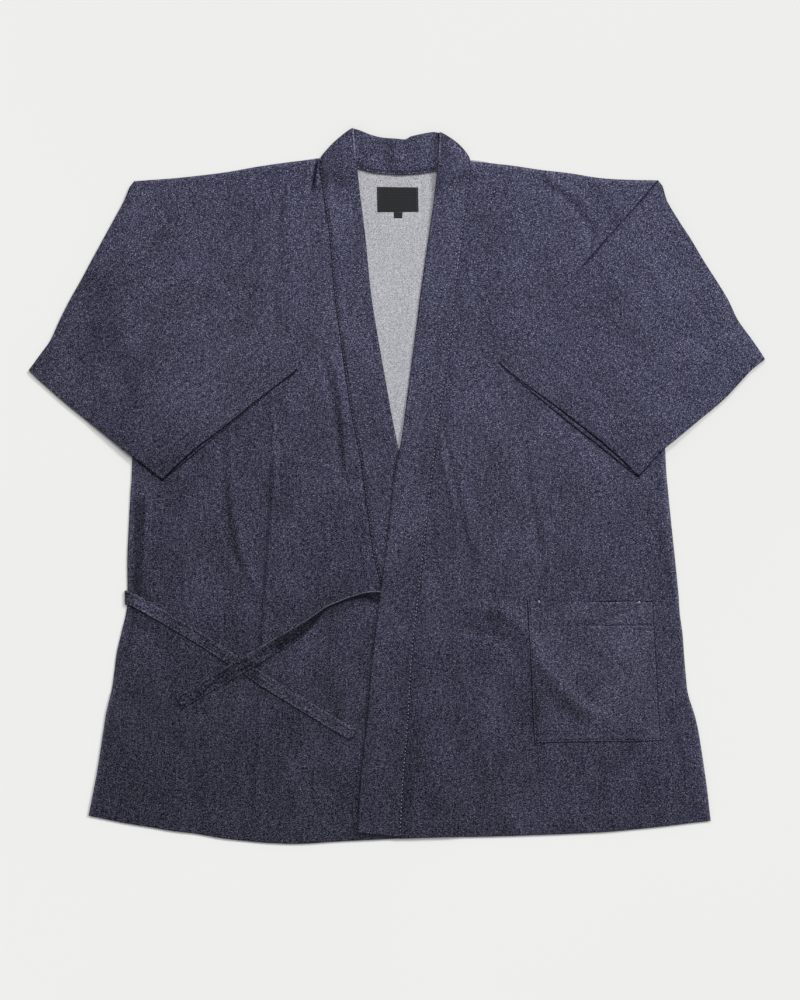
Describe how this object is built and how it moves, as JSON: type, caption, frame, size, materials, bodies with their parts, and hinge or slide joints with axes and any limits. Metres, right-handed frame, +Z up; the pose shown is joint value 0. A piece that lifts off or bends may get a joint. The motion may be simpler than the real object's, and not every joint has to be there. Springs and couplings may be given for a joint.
{
  "type": "samue jacket, laid flat",
  "caption": "Half-sleeved wrap jacket of dark slub denim, laid flat and closed left over right, with a long band collar, side ties and a patch pocket.",
  "frame": {"origin": "on the table, under the middle of the laid jacket's outline", "axes": "+Z up from the table, +Y towards the neck, +X to the viewer's right, which is the wearer's left"},
  "size_m": [0.84, 0.8156, 0.0174],
  "materials": {
    "denim": "indigo slub denim, matt, right side out",
    "denim_wrong_side": "pale speckled wrong side of the denim, matt; the back shows it upwards",
    "woven_ribbon": "black woven ribbon, matt, bare"
  },
  "bodies": {
    "root": {"back": "denim_wrong_side", "right_front": "denim", "left_front": "denim", "collar": "denim", "right_sleeve": "denim", "left_sleeve": "denim", "pocket": "denim", "side_tie": "denim", "front_tie": "denim", "neck_label": "woven_ribbon", "size_tab": "woven_ribbon"}
  },
  "joints": []
}
